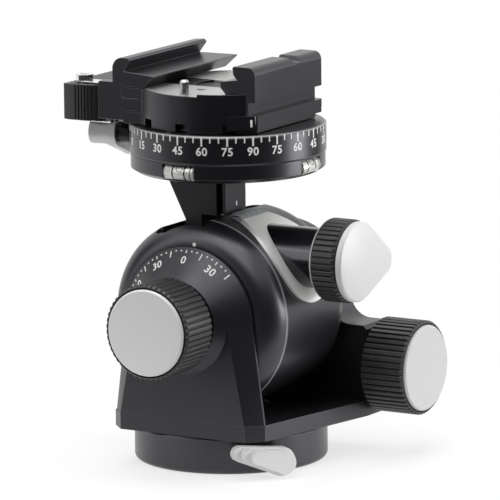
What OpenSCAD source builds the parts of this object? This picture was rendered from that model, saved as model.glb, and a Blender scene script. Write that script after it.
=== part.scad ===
// Geared tripod head: a drum rolls in a U-shaped frame, a neck tilts in the drum, both
// through worm drives, and a quick-release clamp pans on top. Millimetres, +Z up.
// The origin is on the pan axis where the foot meets the floor. The roll axis runs
// along Y and the tilt axis along X, and both pass over the pan axis.

/* [Foot] */
// Diameter of the foot
foot_d = 60; // [50:1:70]
// Height of the foot
foot_h = 11.3; // [9:0.1:16]
// Radius of the foot's rounded lower edge
foot_edge = 1.7; // [0.5:0.1:3]
// Bore of the tapped hole for the tripod's 3/8 inch screw
socket_d = 8.2; // [7.9:0.1:8.4]
// Depth of the tapped hole
socket_depth = 9.6; // [6:0.1:10]
// Diameter of the steel pan post
post_d = 18; // [14:1:22]
// Direction of the base lock lever, measured from the front towards the right
base_lever_az = 56; // [30:1:80]

/* [Frame] */
// Thickness of the base plate
base_t = 5; // [4:0.1:8]
// Width of the base plate at the front
base_w = 54; // [50:1:60]
// Corner bevel of the base plate
base_bevel = 4.7; // [2:0.1:8]
// Thickness of the front upright
upright_t = 5.6; // [4:0.1:8]
// Diameter of the round top of the uprights
rim_d = 45; // [41:0.5:50]
// Thickness of the gear housing at the rear
housing_t = 12.8; // [12.4:0.2:16]
// Reach of the gear housing to the right of the pan axis
housing_reach = 35.3; // [31:0.1:42]
// Height of the housing's shoulder above the base plate
shoulder_h = 23.6; // [20:0.1:27]

/* [Drum] */
// Diameter of the drum
drum_d = 60; // [56:1:64]
// Length of the drum
drum_len = 46.4; // [44:0.2:56]
// Diameter of the drum's end faces
drum_end_d = 45.6; // [42:0.2:50]
// Length of each rounded shoulder
shoulder_len = 8; // [4:0.5:10]
// Diameter of the front trunnion
trunnion_d = 18; // [16:1:22]
// Left side of the neck's slot, from the pan axis
slot_left = 14.7; // [14:0.1:17]
// Right side of the neck's slot, from the pan axis
slot_right = 3.1; // [2.9:0.1:4]
// Radius that the slot leaves free about the tilt axis
slot_r = 18.6; // [17:0.1:20]
// Diameter of the bare metal collar round the tilt axis
collar_d = 27.6; // [24:0.1:30]
// Height of the collar above the drum's surface
collar_rise = 0.9; // [0.3:0.1:2]
// Diameter of the tilt tube
tube_d = 18.6; // [15:0.2:20]
// Reach of the tilt tube to the right of the pan axis
tube_reach = 35.2; // [33:0.1:42]
// Diameter of the tilt pin
pin_d = 8; // [6:0.5:10]

/* [Gears] */
// Module of both worm drives
gear_module = 0.8; // [0.7:0.05:0.9]
// Teeth of the roll wheel
wheel_teeth = 38; // [36:1:39]
// Teeth that a full tilt wheel would have
sector_teeth = 32; // [30:1:34]
// Pitch diameter of the roll worm
roll_worm_d = 9.2; // [8.6:0.2:9.6]
// Pitch diameter of the tilt worm
tilt_worm_d = 10.2; // [9.6:0.2:11]
// Face width of the gear wheels
gear_w = 6; // [5:0.2:7]
// Diameter of the worm shafts
shaft_d = 6; // [5:0.5:7]

/* [Knobs] */
// Diameter of the two gear knobs over the grip
knob_d = 29.5; // [26:0.5:34]
// Length of a gear knob
knob_len = 15.4; // [13:0.1:20]
// Diameter of a gear knob's metal cap
knob_cap_d = 27; // [22:0.5:28]
// Teeth round a gear knob
knob_teeth = 48; // [36:1:60]
// Diameter of the tilt lock knob
lock_knob_d = 25.8; // [22:0.2:28]
// Length of the tilt lock knob's grip
lock_knob_len = 8.4; // [6:0.2:12]
// Distance from the tilt axis to the tip of the tilt lock lever
lock_tip = 20.4; // [17:0.2:24]

/* [Levers] */
// Distance between the two ends of a small lock lever
lever_len = 14.4; // [11:0.1:18]
// Radius of the lever's hub end
lever_hub_r = 4.5; // [3.6:0.1:4.6]
// Radius of the lever's small end
lever_end_r = 2.4; // [1.6:0.1:3]
// Diameter of the lever screws
lever_screw_d = 5; // [4:0.2:6]

/* [Neck and ring] */
// Distance from the tilt axis to the underside of the ring
neck_len = 25.5; // [24:0.1:30]
// Thickness of the neck, front to back
neck_t = 12; // [9:0.2:13]
// Diameter of the ring
ring_d = 60.8; // [56:0.2:66]
// Height of the lower ring with the spirit levels
level_h = 5.7; // [5.4:0.1:8]
// Height of the numbered ring
scale_h = 9.1; // [8.4:0.1:12]
// Length of a spirit level vial
vial_len = 11; // [8:0.5:14]
// Diameter of a spirit level vial
vial_d = 4.8; // [4:0.1:5]
// Diameter of the clamp's pan spindle
spindle_d = 14; // [10:0.5:18]

/* [Clamp] */
// Length of the jaws
jaw_len = 40; // [36:1:50]
// Width of the camera plate that the closed jaws hold, at its widest
plate_w = 38; // [37:0.1:39]
// Height of the clamp body's floor above its underside
floor_h = 11.2; // [10:0.1:12]
// Travel of the moving jaw
jaw_travel = 2.5; // [1:0.1:3]
// Diameter of the draw bar
bar_d = 4; // [3:0.2:5]

/* [Fits] */
// Radial clearance of a running fit
run = 0.05; // [0.02:0.01:0.1]
// Gap between faces that pass each other
pass = 0.3; // [0.1:0.05:0.5]

/* [Hidden] */
$fn = 96;

e = 0.01;                                     // overlap that keeps a cut open
base_z = foot_h + 0.1;                        // underside of the base plate
top_z = base_z + base_t;                      // top of the base plate
roll_z = top_z + drum_d / 2 + 0.7;            // height of the roll axis
roll_worm_drop = gear_module * wheel_teeth / 2 + roll_worm_d / 2;
tilt_z = roll_z + gear_module * sector_teeth / 2 + tilt_worm_d / 2;
ring_z = tilt_z + neck_len;                   // underside of the ring
clamp_z = ring_z + level_h + scale_h + pass;  // underside of the clamp
frame_y = drum_len / 2 + pass;                // inner faces of the uprights
front_y = -frame_y - upright_t;               // front face of the frame
tunnel_r = roll_worm_d / 2 + 0.8;             // tunnel that the roll worm lies in
worm_y = frame_y + tunnel_r + 0.7;            // plane of the roll worm
rear_y = frame_y + housing_t;                 // rear face of the frame
flare_y = frame_y + 0.4;                      // where the base stops widening
rim_t = 0.8;                                  // straight edge of the scale rim
dial_r = rim_d / 2 - upright_t * 1.09;        // where the dial cone meets the flat
knob_y = front_y - 5.4;                       // back of the tilt knob
worm_z = roll_z - roll_worm_drop;             // height of the roll worm
knob_x = housing_reach + 2.6;                 // back of the roll knob
lock_x = tube_reach + 1.4;                    // back of the lock knob's grip
lead = PI * gear_module;                      // advance of a worm thread in one turn
worm_turns = 7;                               // odd, so both ends look alike
neck_right = slot_right - 0.5;
tab_left = slot_left - 0.7;
pin_hold = 4;                                 // bearing of the tilt pin left of the slot
bar_y = -13.5;                                // line of the draw bar and flip lever
jaw_out = -34.6;                              // outer face of the moving jaw
cam_r = 5.7;                                  // round nose of the flip lever
flip_x = jaw_out - cam_r - 1.28 * jaw_travel; // pivot of the flip lever
yoke_t = 1.7;                                 // thickness of the yoke behind the lever
ledge_h = 12.6;                               // height of the moving jaw's outer block
lever_low = -0.5;                             // underside and top of the flip lever
lever_top = 10.6;
strap_t = 0.4;                                // thickness of the yoke's two strips
cover_t = 1.4;                                // thickness of the housing's cover
screw_len = base_t + 4.6;                     // length of the frame screws

// ---- shared shapes ------------------------------------------------------------

// Turns a shape that points up so that it points along +X, +Y or -Y
module along_x() { rotate([0, 90, 0]) children(); }
module along_y() { rotate([-90, 0, 0]) children(); }
module along_front() { rotate([90, 0, 0]) children(); }

// Outline of a grip with square teeth, tip radius r and depth cut
function grip_pts(r, teeth, cut) = [for (i = [0 : teeth - 1], k = [0 : 3])
    let (a = 360 / teeth * (i + [0, 0.2, 0.5, 0.7][k]), q = k < 1 || k > 2 ? r - cut : r)
    [q * cos(a), q * sin(a)]];

// Gear outline of trapezoid teeth between the two angles
function gear_pts(r, teeth, from, to, add, ded) = [for (i = [from : to], k = [0 : 3])
    let (a = 360 / teeth * (i + [-0.27, -0.1, 0.1, 0.27][k]),
         q = k < 1 || k > 2 ? r - ded : r + add) [q * cos(a), q * sin(a)]];

// Cross-section of a one-start worm: the tooth is a bump on a round core
function worm_pts(r, add, ded, n = 20) = [for (i = [0 : n - 1])
    let (a = 360 * i / n, s = abs(a > 180 ? 360 - a : a) / 180,
         q = s < 0.12 ? r + add : s > 0.36 ? r - ded
             : r + add - (add + ded) * (s - 0.12) / 0.24) [q * cos(a), q * sin(a)]];

// A worm thread of whole turns, centred, its axis up
module worm(r, turns) {
    translate([0, 0, -turns * lead / 2])
        linear_extrude(turns * lead, twist = -360 * turns, slices = turns * 14, $fn = 16)
            polygon(worm_pts(r, 0.65 * gear_module, 0.95 * gear_module));
}

// A toothed grip ring with a smooth bevelled nose, back at z = 0, cap seat in the nose
module grip(d, len, teeth, cap_d, bore) {
    nose = 2.4;
    difference() {
        union() {
            cylinder(d = d - 1.6, h = 0.8);
            translate([0, 0, 0.6]) linear_extrude(len - nose - 0.6)
                polygon(grip_pts(d / 2, teeth, 0.75));
            translate([0, 0, len - nose]) cylinder(d1 = d - 0.6, d2 = cap_d + 0.7, h = 1.2);
            translate([0, 0, len - nose + 1.2]) cylinder(d = cap_d + 0.7, h = 0.6);
        }
        translate([0, 0, len - nose + 0.3]) cylinder(d = cap_d, h = nose);
        translate([0, 0, -e]) cylinder(d = bore, h = len);
    }
}

// The metal cap that fills the seat of a grip
module cap(d, len) {
    translate([0, 0, len - 2.1]) cylinder(d = d, h = 1.5);
    translate([0, 0, len - 0.6]) cylinder(d1 = d, d2 = d - 1.2, h = 0.6);
}

// Teardrop of a large and a small round, lying in X with the small end at +X
module teardrop(r1, r2, len) {
    a = acos((r1 - r2) / len);
    circle(r1);
    translate([len, 0]) circle(r2);
    polygon([r1 * [cos(a), sin(a)], [len, 0] + r2 * [cos(a), sin(a)],
        [len, 0] + r2 * [cos(a), -sin(a)], r1 * [cos(a), -sin(a)]]);
}

// Stepped lock lever, hub axis up, back face at z = 0, small end at +X
module lock_arm() {
    linear_extrude(2.6) teardrop(lever_hub_r, lever_end_r, lever_len);
    translate([0, 0, 2.6 - e]) linear_extrude(1.6)
        teardrop(lever_hub_r - 0.5, lever_end_r - 0.3, lever_len - 2.2);
    translate([0, 0, 4.2 - 2 * e]) linear_extrude(1.4)
        teardrop(lever_hub_r - 1, lever_end_r - 0.5, lever_len - 4.6);
}

// Places a lever on a radial line: az from the front towards the right, at height z
module radial(az, z) {
    translate([0, 0, z]) rotate([0, 0, az - 90]) rotate([0, 90, 0]) rotate([0, 0, 180])
        children();
}

// ---- foot ---------------------------------------------------------------------

lever_z = lever_hub_r + 0.4;                  // the lever's hub stays off the floor
lever_rise = base_z - 0.5 - lever_end_r - lever_z;
lever_seat = foot_d / 2 + 4.4;                // radius of the lever's back face

module foot() {
    color("#1c1a21") difference() {
        rotate_extrude() difference() {
            union() {
                square([foot_d / 2 - foot_edge, foot_h]);
                translate([0, foot_edge]) square([foot_d / 2, foot_h - foot_edge - 0.5]);
                translate([foot_d / 2 - foot_edge, foot_edge]) circle(foot_edge);
                polygon([[0, foot_h - 0.5], [foot_d / 2, foot_h - 0.5],
                    [foot_d / 2 - 0.5, foot_h], [0, foot_h]]);
            }
            translate([-e, -e]) square([post_d / 2 + e, foot_h + 1]);
        }
        // shallow ring under the foot leaves a raised rim to stand on
        translate([0, 0, -e]) difference() {
            cylinder(r = foot_d / 2 - 5, h = 0.6);
            translate([0, 0, -e]) cylinder(r = post_d / 2 + 3, h = 1);
        }
        radial(base_lever_az, lever_z)
            translate([0, 0, foot_d / 2 - 9]) cylinder(d = lever_screw_d + 2 * run, h = 12);
    }
}

// The steel post carries the tapped hole and its head holds the base plate down
module pan_post() {
    color("silver") difference() {
        union() {
            cylinder(d = post_d, h = top_z - 2.6);
            translate([0, 0, top_z - 2.6]) cylinder(d = post_d + 6, h = 2.2);
        }
        translate([0, 0, -e]) cylinder(d = socket_d, h = socket_depth + e);
    }
}

module base_lever() {
    color("lightgray") radial(base_lever_az, lever_z) translate([0, 0, lever_seat])
        rotate([0, 0, 90 - asin(lever_rise / lever_len)]) lock_arm();
}

module base_lever_screw() {
    color("#222222") radial(base_lever_az, lever_z) {
        translate([0, 0, foot_d / 2 - 8.6])
            cylinder(d = lever_screw_d, h = lever_seat - foot_d / 2 + 8.6);
        translate([0, 0, lever_seat - 1.4]) cylinder(d = lever_screw_d + 1.4, h = 1.4);
    }
}

// ---- frame --------------------------------------------------------------------

screw_places = [for (x = [-20, 20], y = [front_y + 3, frame_y + 4]) [x, y]];

module base_plate() {
    w = base_w / 2;
    color("#17171a") difference() {
        translate([0, 0, base_z]) linear_extrude(base_t) polygon([
            [-w + base_bevel, front_y], [w - base_bevel, front_y],
            [w, front_y + base_bevel], [housing_reach, flare_y], [housing_reach, rear_y - 1],
            [housing_reach - 1, rear_y], [-w + 1, rear_y], [-w, rear_y - 1],
            [-w, front_y + base_bevel]]);
        translate([0, 0, base_z - e]) cylinder(d = post_d + 2 * run, h = base_t + 1);
        translate([0, 0, top_z - 2.6 - 0.1]) cylinder(d = post_d + 6 + 2 * run, h = base_t);
        for (p = screw_places) translate([p[0], p[1], base_z - e]) {
            cylinder(d = 3, h = base_t + 1);
            cylinder(d = 5.4, h = 2.5);
        }
    }
}

// Half width of the outer and of the flat front outline where they meet the base
foot_half = base_w / 2 - 0.4;
flat_half = base_w / 2 - base_bevel;

module front_upright() {
    color("#17171a") difference() {
        union() {
            // the scale rim and the dial cone are turned about the roll axis
            translate([0, -frame_y, roll_z]) along_front() {
                cylinder(d = rim_d, h = rim_t);
                translate([0, 0, rim_t])
                    cylinder(r1 = rim_d / 2, r2 = dial_r, h = upright_t - rim_t);
                translate([0, 0, upright_t]) cylinder(r1 = dial_r, r2 = dial_r - 3, h = 2.6);
                translate([0, 0, upright_t + 2.6 - e]) cylinder(d = trunnion_d + 5, h = 1.2);
            }
            // below the axis the plate widens to the base with bevelled sides
            hull() {
                for (s = [-1, 1]) {
                    translate([s * foot_half - 0.005, -frame_y - rim_t, top_z])
                        cube([0.01, rim_t, 0.01]);
                    translate([s * rim_d / 2 - 0.005, -frame_y - rim_t, roll_z])
                        cube([0.01, rim_t, 0.01]);
                    translate([s * flat_half - 0.005, front_y, top_z]) cube(0.01);
                    translate([s * dial_r - 0.005, front_y, roll_z]) cube(0.01);
                }
            }
        }
        translate([0, -frame_y + e, roll_z]) along_front()
            cylinder(d = trunnion_d + 2 * run, h = upright_t + 6);
        for (p = screw_places) translate([p[0], p[1], base_z + 0.2])
            cylinder(d = 3, h = screw_len);
    }
}

// Outline of the rear housing: round top, left side sloping to the base, and on the
// right a concave sweep from the tall arm down to the shoulder over the worm
module housing_outline() {
    r = rim_d / 2;
    sweep = 7;
    s_z = top_z + shoulder_h - roll_z;
    circle(r);
    polygon(concat(
        [[-r, 0], [-foot_half, top_z - roll_z], [housing_reach, top_z - roll_z],
            [housing_reach, s_z - 1.2], [housing_reach - 1.2, s_z]],
        [for (a = [0 : 10 : 80]) [r + sweep - sweep * sin(a), s_z + sweep - sweep * cos(a)]],
        [[r, s_z + sweep], [r - 0.4, max(s_z + sweep, 2)]]));
}

cover_r = gear_module * wheel_teeth / 2 + 4.6;
module gear_housing() {
    wheel_r = gear_module * (wheel_teeth / 2 + 0.65) + 0.4;
    color("#17171a") difference() {
        translate([0, rear_y, roll_z]) along_front() linear_extrude(housing_t)
            housing_outline();
        translate([0, frame_y - e, roll_z]) along_y() {
            cylinder(d = trunnion_d - 2 + 2 * run, h = housing_t + 1);
            translate([0, 0, worm_y - frame_y - gear_w / 2 - 0.4])
                cylinder(r = wheel_r, h = housing_t);
            translate([0, 0, housing_t - cover_t]) cylinder(r = cover_r, h = 3);
        }
        translate([0, worm_y, worm_z]) along_x() {
            translate([0, 0, -12]) cylinder(r = tunnel_r, h = 80);
            translate([0, 0, -18]) cylinder(d = shaft_d + 2 * run, h = 10);
        }
        for (p = screw_places) translate([p[0], p[1], base_z + 0.2])
            cylinder(d = 3, h = screw_len);
        cover_holes(3);
    }
}

module cover_holes(len) {
    for (a = [45 : 90 : 315]) translate([0, rear_y + e, roll_z]) along_front()
        rotate([0, 0, a]) translate([cover_r - 2, 0, 0]) cylinder(d = 2, h = cover_t + len);
}

module housing_cover() {
    color("#222226") difference() {
        translate([0, rear_y - cover_t, roll_z]) along_y() {
            cylinder(r = cover_r - 0.1, h = cover_t - 0.4);
            translate([0, 0, cover_t - 0.4 - e])
                cylinder(r1 = cover_r - 0.1, r2 = cover_r - 0.5, h = 0.4);
        }
        cover_holes(3);
        for (a = [45 : 90 : 315]) translate([0, rear_y + e, roll_z]) along_front()
            rotate([0, 0, a]) translate([cover_r - 2, 0, 0]) cylinder(d = 3.2, h = 0.9 + e);
    }
}

module cover_screws() {
    color("#444448") for (a = [45 : 90 : 315]) translate([0, rear_y, roll_z]) along_front()
        rotate([0, 0, a]) translate([cover_r - 2, 0, -0.9]) difference() {
            union() { cylinder(d = 3.2, h = 0.9); cylinder(d = 2, h = 4.6); }
            translate([0, 0, -e]) cylinder(d = 1.5, h = 0.6, $fn = 6);
        }
}

module frame_screws() {
    color("#444448") for (p = screw_places) translate([p[0], p[1], base_z + 0.2])
        difference() {
            union() { cylinder(d = 5.2, h = 2.2); cylinder(d = 3, h = screw_len); }
            translate([0, 0, -e]) cylinder(d = 2.5, h = 1.2, $fn = 6);
        }
}

// Flanged bush that carries the roll worm's shaft where it leaves the housing
module roll_bush() {
    color("#2a2a2e") translate([0, worm_y, worm_z]) along_x() difference() {
        union() {
            translate([0, 0, housing_reach - 18]) cylinder(r = tunnel_r, h = 18);
            translate([0, 0, housing_reach]) cylinder(r = 10, h = 1.6);
        }
        translate([0, 0, housing_reach - 20]) cylinder(d = shaft_d + 2 * run, h = 40);
    }
}

// ---- drum ---------------------------------------------------------------------

// Half outline of the drum: end face, rounded shoulder, barrel, and both trunnions
function drum_pts() = let (r = drum_d / 2, re = drum_end_d / 2, h = drum_len / 2) concat(
    [[0, -h - upright_t - 4], [trunnion_d / 2, -h - upright_t - 4], [trunnion_d / 2, -h]],
    [for (a = [0 : 7.5 : 90]) [re + (r - re) * sin(a), -h + shoulder_len * (1 - cos(a))]],
    [for (a = [90 : -7.5 : 0]) [re + (r - re) * sin(a), h - shoulder_len * (1 - cos(a))]],
    [[trunnion_d / 2 - 1, h], [trunnion_d / 2 - 1, worm_y + gear_w / 2 + 0.2],
        [0, worm_y + gear_w / 2 + 0.2]]);

module drum() {
    color("#1e1c24") difference() {
        translate([0, 0, roll_z]) along_y() rotate_extrude() polygon(drum_pts());
        // slot for the neck, swept about the tilt axis, and its wider mouth
        translate([-slot_left, 0, tilt_z]) along_x()
            cylinder(r = slot_r, h = slot_left + slot_right);
        intersection() {
            translate([-slot_left, 0, tilt_z]) along_x()
                cylinder(r = slot_r + 3.9, h = slot_left + slot_right);
            translate([-40, -40, tilt_z + 7]) cube([80, 80, 40]);
        }
        // worm chamber, open to the front through the trunnion
        translate([0, 10, roll_z]) along_front() cylinder(r = tilt_worm_d / 2 + 1, h = 60);
        translate([0, 16, roll_z]) along_front() cylinder(d = shaft_d + 2 * run, h = 8);
        // seat of the collar and bore of the tilt pin
        translate([slot_right + 1.5, 0, tilt_z]) along_x() cylinder(d = collar_d, h = 60);
        translate([-slot_left - pin_hold - 0.5, 0, tilt_z]) along_x()
            cylinder(d = pin_d + 2 * run, h = 40);
    }
}

// Saddle-shaped collar: a round plug about the tilt axis, turned to follow the drum
module tilt_collar() {
    color("#b9bab8") intersection() {
        translate([slot_right + 1.5, 0, tilt_z]) along_x() difference() {
            cylinder(d = collar_d, h = drum_d / 2 + 2);
            translate([0, 0, -e]) cylinder(d = tube_d, h = drum_d / 2 + 4);
        }
        translate([0, -drum_len / 2, roll_z]) along_y()
            cylinder(r = drum_d / 2 + collar_rise, h = drum_len);
    }
}

module tilt_tube() {
    x0 = slot_right + 1.5;
    color("#131316") {
        translate([x0, 0, tilt_z]) along_x() difference() {
            cylinder(d = tube_d, h = tube_reach - x0);
            translate([0, 0, -e]) cylinder(d = pin_d + 2 * run, h = tube_reach - x0 - 1);
        }
        // stud that the lock knob turns on
        translate([tube_reach - e, 0, tilt_z]) along_x()
            cylinder(d = pin_d, h = lock_x + lock_knob_len - 4.2 - tube_reach);
    }
}

module tilt_bush() {
    color("#2a2a2e") translate([0, -drum_len / 2 - upright_t - 4, roll_z]) along_y()
        difference() {
            cylinder(r = tilt_worm_d / 2 + 1, h = 17);
            translate([0, 0, -e]) cylinder(d = shaft_d + 2 * run, h = 18);
        }
}

module roll_wheel() {
    r = gear_module * wheel_teeth / 2;
    color("#b08d57") translate([0, worm_y - gear_w / 2, roll_z]) along_y() difference() {
        rotate([0, 0, 90]) linear_extrude(gear_w) polygon(gear_pts(r, wheel_teeth,
            0, wheel_teeth - 1, 0.65 * gear_module, 0.95 * gear_module));
        translate([0, 0, -e]) cylinder(d = trunnion_d - 2, h = gear_w + 1);
    }
}

// ---- roll drive: worm, shaft and knob on the right ----------------------------

// Each worm is turned so that a thread gap meets the wheel's middle tooth
module roll_worm() {
    color("#9a9aa0") translate([0, worm_y, worm_z]) along_x() rotate([0, 0, 180])
        worm(roll_worm_d / 2, worm_turns);
}

module roll_shaft() {
    l = worm_turns / 2 * lead;
    color("#9a9aa0") translate([0, worm_y, worm_z]) along_x() {
        translate([0, 0, -17]) cylinder(d = shaft_d, h = 17 - l);
        translate([0, 0, l]) cylinder(d = shaft_d, h = knob_x + knob_len - 5 - l);
    }
}

module roll_knob() {
    color("#202022") translate([knob_x, worm_y, worm_z]) along_x()
        grip(knob_d, knob_len, knob_teeth, knob_cap_d, shaft_d);
}

module roll_cap() {
    color("#d4d4d2") translate([knob_x, worm_y, worm_z]) along_x() cap(knob_cap_d, knob_len);
}

// ---- tilt drive: worm on the roll axis and knob at the front ------------------

module tilt_worm() {
    color("#9a9aa0") translate([0, 0, roll_z]) along_y() rotate([0, 0, -90])
        worm(tilt_worm_d / 2, worm_turns);
}

module tilt_shaft() {
    l = worm_turns / 2 * lead;
    color("#9a9aa0") translate([0, 0, roll_z]) along_front() {
        translate([0, 0, -15.5]) cylinder(d = shaft_d, h = 15.5 - l);
        translate([0, 0, l]) cylinder(d = shaft_d, h = -knob_y + knob_len - 5 - l);
    }
}

module tilt_knob() {
    color("#202022") translate([0, knob_y, roll_z]) along_front()
        grip(knob_d, knob_len, knob_teeth, knob_cap_d, shaft_d);
}

module tilt_cap() {
    color("#d4d4d2") translate([0, knob_y, roll_z]) along_front() cap(knob_cap_d, knob_len);
}

// ---- tilt lock on the tube ----------------------------------------------------

module lock_ring() {
    color("#c4c4c2") translate([lock_x - 1.1, 0, tilt_z]) along_x() difference() {
        cylinder(d1 = lock_knob_d - 2.4, d2 = lock_knob_d - 0.4, h = 1);
        translate([0, 0, -e]) cylinder(d = pin_d + 2 * run, h = 2);
    }
}

module lock_knob() {
    color("#202022") translate([lock_x, 0, tilt_z]) along_x() difference() {
        union() {
            linear_extrude(lock_knob_len - 0.6)
                polygon(grip_pts(lock_knob_d / 2, knob_teeth - 6, 0.75));
            translate([0, 0, lock_knob_len - 0.6 - e])
                cylinder(d = lock_knob_d - 1.6, h = 0.5);
        }
        translate([0, 0, -e]) cylinder(d = pin_d + 2 * run, h = lock_knob_len + 1);
    }
}

// Teardrop cap that works as the lever of the tilt lock
module lock_lever() {
    tip_r = 2.2;
    back = lock_x + lock_knob_len + 0.2;
    color("#d4d4d2") translate([back, 0, tilt_z]) along_x() rotate([0, 0, 90 - 7]) {
        linear_extrude(1.3) teardrop(lock_knob_d / 2 - 0.5, tip_r, lock_tip - tip_r);
        translate([0, 0, 1.3 - e]) linear_extrude(0.6)
            teardrop(lock_knob_d / 2 - 1, tip_r - 0.5, lock_tip - tip_r);
        translate([0, 0, -4]) cylinder(d = pin_d, h = 4 + e);
    }
}

// ---- neck and ring ------------------------------------------------------------

module neck() {
    shelf = 11.4;                             // where the neck leaves the slot
    tab = 7.8;                                // width of the tab inside the slot
    color("#26262a") difference() {
        union() {
            // front view of the neck, wide at the top and slanting in on the left
            translate([0, neck_t / 2, tilt_z]) along_front() linear_extrude(neck_t)
                polygon([[-tab_left, 0], [-tab_left + 2, shelf - 2],
                    [-tab_left - 5.8, neck_len - 0.6], [-tab_left - 5.8, neck_len],
                    [neck_right, neck_len],
                    [neck_right, shelf], [-tab_left + tab, shelf], [-tab_left + tab, 0]]);
            translate([-tab_left, 0, tilt_z]) along_x() cylinder(r = 8, h = tab + 2.4);
        }
        translate([-tab_left - e, 0, tilt_z]) along_x() cylinder(d = pin_d, h = 30);
        // clamping slit down the front face
        translate([neck_right - 3.3, -neck_t / 2 - e, tilt_z + shelf - 1])
            cube([2.2, 2.6, neck_len - shelf + 2]);
    }
}

sector_x = -tab_left + 7.8 + 2.4;
module tilt_sector() {
    r = gear_module * sector_teeth / 2;
    half = 7;                                 // teeth on each side of the lowest one
    color("#b08d57") translate([sector_x, 0, tilt_z]) along_x() difference() {
        linear_extrude(neck_right - sector_x) {
            circle(8);
            rotate(0) polygon(concat([[0, 0]], gear_pts(r, sector_teeth, -half, half,
                0.65 * gear_module, 0.95 * gear_module)));
        }
        translate([0, 0, -e]) cylinder(d = pin_d, h = 20);
    }
}

module tilt_pin() {
    color("silver") translate([-slot_left - pin_hold, 0, tilt_z]) along_x()
        cylinder(d = pin_d, h = slot_left + pin_hold + tube_reach - 1.4);
}

vial_in = ring_d / 2 - vial_d / 2 - 0.3;      // distance of a vial from the pan axis
module level_ring() {
    r = ring_d / 2;
    color("#1a1a1d") difference() {
        translate([0, 0, ring_z]) rotate_extrude() polygon([[0, 0], [r - 2.2, 0],
            [r - 0.3, 1.2], [r - 0.3, level_h - 0.1], [r - 0.8, level_h], [0, level_h]]);
        for (a = [0, 90]) rotate([0, 0, a]) translate([0, -vial_in, ring_z + level_h / 2]) {
            translate([-vial_len / 2 - 0.1, -6, -vial_d / 2 - 0.1])
                cube([vial_len + 0.2, 6 + vial_d / 2 + 0.1, vial_d + 0.2]);
        }
        translate([0, 0, ring_z - e]) cylinder(d = 2.5, h = level_h + 1);
        translate([0, 0, ring_z + level_h - 2]) cylinder(d = spindle_d, h = 3);
    }
}

module vial(a) {
    color("#e8ecd8") rotate([0, 0, a])
        translate([-vial_len / 2, -vial_in, ring_z + level_h / 2]) along_x()
            cylinder(d = vial_d, h = vial_len);
}
module vial_front() { vial(0); }
module vial_side() { vial(90); }

pan_screw_z = ring_z + level_h + 3.9;
module scale_ring() {
    r = ring_d / 2;
    z0 = ring_z + level_h;
    color("#1a1a1d") difference() {
        translate([0, 0, z0]) rotate_extrude() polygon([[0, 0], [r - 0.3, 0], [r, 0.4],
            [r, scale_h - 0.7], [r - 0.7, scale_h], [0, scale_h]]);
        translate([0, 0, z0 - e]) cylinder(d = spindle_d, h = scale_h + 1);
        radial(-80, pan_screw_z) translate([0, 0, r - 9])
            cylinder(d = lever_screw_d + 2 * run, h = 12);
        for (a = [20 : 120 : 260]) rotate([0, 0, a])
            translate([r - 2.6, 0, z0 + scale_h - 2]) cylinder(d = 1.9, h = 3);
    }
}

module spindle() {
    z0 = ring_z + level_h - 2;
    color("silver") translate([0, 0, z0]) {
        cylinder(d = spindle_d, h = clamp_z + 5.4 - z0);
        translate([0, 0, clamp_z + 5.4 - z0 - e]) cylinder(d = spindle_d + 5, h = 1.6);
    }
}

module ring_screws() {
    z0 = ring_z + level_h + scale_h;
    color("#8c8c8c") for (a = [20 : 120 : 260]) rotate([0, 0, a])
        translate([ring_d / 2 - 2.6, 0, z0 - 1.9]) difference() {
            cylinder(d = 1.9, h = 1.8);
            translate([0, 0, 1.2]) cylinder(d = 1, h = 1, $fn = 6);
        }
}

module pan_lever() {
    color("lightgray") radial(-80, pan_screw_z) translate([0, 0, ring_d / 2 + 5.6])
        rotate([0, 0, 90 + 28]) {
            lock_arm();
            cylinder(r = lever_hub_r - 0.6, h = 9);
        }
}

module pan_lever_screw() {
    r = ring_d / 2;
    color("#222222") radial(-80, pan_screw_z) {
        translate([0, 0, r - 8.6]) cylinder(d = lever_screw_d, h = 14.2);
        translate([0, 0, r + 1.6]) cylinder(d = lever_screw_d + 1.4, h = 4);
    }
}

// ---- clamp --------------------------------------------------------------------

// Extrudes an outline drawn in X and height over the jaws' length
module jaw_extrude(len = jaw_len) {
    translate([0, len / 2, clamp_z]) along_front() linear_extrude(len) children();
}

grip_in = -(plate_w / 2 + 6.4);               // root of the moving jaw's dovetail
grip_fix = grip_in + plate_w + 1.8;           // root of the fixed jaw's dovetail
body_left = -25.6;                            // left face of the clamp body
finger_x = -19.9;                             // end of the moving jaw's guide finger
clamp_r = ring_d / 2 - 3;                     // radius of the clamp body
seam = 0.25;                                  // gap between the moving jaw and the body
stop_x = -0.8;                                 // place of the safety pin
stop_y = 3.5 - clamp_r;
stop_d = 2.8;
sheet_t = 0.7;                                // thickness of the floor plates

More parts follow.
